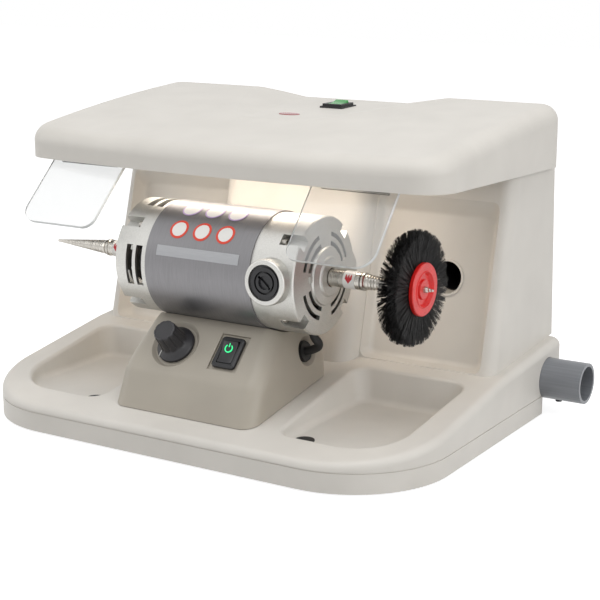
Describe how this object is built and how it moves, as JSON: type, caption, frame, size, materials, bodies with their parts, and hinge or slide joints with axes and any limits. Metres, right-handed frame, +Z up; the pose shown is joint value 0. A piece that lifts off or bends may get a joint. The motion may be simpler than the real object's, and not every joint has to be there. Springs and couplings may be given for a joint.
{
  "type": "dental polishing lathe",
  "caption": "Bench polishing lathe for dental work: motor on a pedestal, taper spindle and bristle brush, hooded housing with lamp, dust trays and exhaust pipe.",
  "frame": {"origin": "on the bench, on the symmetry plane of the base, under the middle of the base plate", "axes": "+X to the operator's right, +Y to the back of the bench, +Z up; the operator stands at -Y"},
  "size_m": [0.654, 0.4445, 0.376],
  "materials": {
    "light_shell": "fine grained vacuum-formed sheet",
    "pedestal_shell": "fine grained",
    "grey_shell": "fine grained",
    "zinc_steel": "zinc plated",
    "black_rubber": "matte",
    "black_screw": "black oxide",
    "black_plastic": "satin",
    "grey_pipe": "extruded pipe, satin",
    "lamp_glass": "opal, lit",
    "white_plastic": "satin",
    "opal_diffuser": "opal",
    "bright_steel": "turned",
    "clear_clamp": "clear moulded",
    "clear_acrylic": "polished, clear",
    "green_rocker": "translucent green, lit",
    "red_badge": "blank oval",
    "knob_plastic": "satin",
    "black_lead": "sheathed cable",
    "circuit_board": "solder mask",
    "silver_paint": "silver enamel",
    "cast_aluminium": "die cast, bead blasted",
    "ferrite": "sintered",
    "core_steel": "stacked laminations",
    "copper": "enamelled copper",
    "fan_plastic": "moulded",
    "carbon": "pressed carbon",
    "dark_label": "blank plate",
    "white_label": "blank film",
    "red_band": "plain film",
    "red_hub": "moulded",
    "black_bristle": "dense bristles"
  },
  "bodies": {
    "frame": {"base_shell": "light_shell", "rear_housing": "light_shell", "hood": "light_shell", "pedestal": "pedestal_shell", "housing_back_panel": "grey_shell", "base_plate": "zinc_steel", "motor_saddle": "zinc_steel", "lamp_tray": "zinc_steel", "shield_brackets": "zinc_steel", "rubber_feet": "black_rubber", "rubber_grommets": "black_rubber", "case_screws": "black_screw", "mains_inlet": "black_plastic", "port_collars": "light_shell", "suction_ducts": "black_plastic", "light_switch_body": "black_plastic", "power_switch_body": "black_plastic", "speed_potentiometer": "black_plastic", "brush_holders": "black_plastic", "brush_caps": "black_plastic", "pipe_tees": "grey_pipe", "cross_pipe": "grey_pipe", "exhaust_pipe": "grey_pipe", "blanking_plug": "grey_pipe", "lamp_tube": "lamp_glass", "lamp_holders": "white_plastic", "lamp_diffuser": "opal_diffuser", "shield_pins": "bright_steel", "saddle_bolts": "bright_steel", "through_bolts": "bright_steel", "bearings": "bright_steel", "badge": "red_badge", "motor_lead": "black_lead", "speed_board": "circuit_board", "motor_sleeve": "silver_paint", "left_end_bell": "cast_aluminium", "right_end_bell": "cast_aluminium", "field_magnets": "ferrite", "carbon_brushes": "carbon", "rating_plate": "dark_label", "label_discs": "white_label"},
    "rotor": {"motor_shaft": "bright_steel", "armature_core": "core_steel", "armature_windings": "copper", "commutator": "copper", "cooling_fan": "fan_plastic", "shaft_sleeves": "bright_steel", "direction_bands": "red_band", "left_spindle": "bright_steel", "right_spindle": "bright_steel", "brush_hub": "red_hub", "brush_bristles": "black_bristle"},
    "knob": {"speed_knob": "knob_plastic", "potentiometer_shaft": "bright_steel"},
    "power_rocker_body": {"power_rocker": "green_rocker"},
    "light_rocker_body": {"light_rocker": "green_rocker"},
    "left_shield_body": {"left_shield": "clear_acrylic", "left_shield_clamp": "clear_clamp"},
    "right_shield_body": {"right_shield": "clear_acrylic", "right_shield_clamp": "clear_clamp"}
  },
  "joints": [
    {"name": "motor_spin", "type": "hinge", "parent": "frame", "child": "rotor", "pos_m": [0, -0.07, 0.2], "axis": [1, 0, 0], "continuous": true},
    {"name": "speed_turn", "type": "hinge", "parent": "frame", "child": "knob", "pos_m": [-0.036, -0.13078, 0.11122], "axis": [0, 0.7071, -0.7071], "range_deg": [0, 290]},
    {"name": "power_rock", "type": "hinge", "parent": "frame", "child": "power_rocker_body", "pos_m": [0.039, -0.13148, 0.11193], "axis": [1, 0, 0], "range_deg": [-16, 0]},
    {"name": "light_rock", "type": "hinge", "parent": "frame", "child": "light_rocker_body", "pos_m": [0.014, 0.154, 0.366], "axis": [1, 0, 0], "range_deg": [-16, 0]},
    {"name": "left_shield_swing", "type": "hinge", "parent": "frame", "child": "left_shield_body", "pos_m": [-0.188, -0.08, 0.318], "axis": [1, 0, 0], "range_deg": [-8, 16]},
    {"name": "right_shield_swing", "type": "hinge", "parent": "frame", "child": "right_shield_body", "pos_m": [0.179, -0.08, 0.318], "axis": [1, 0, 0], "range_deg": [-15, 6]}
  ]
}
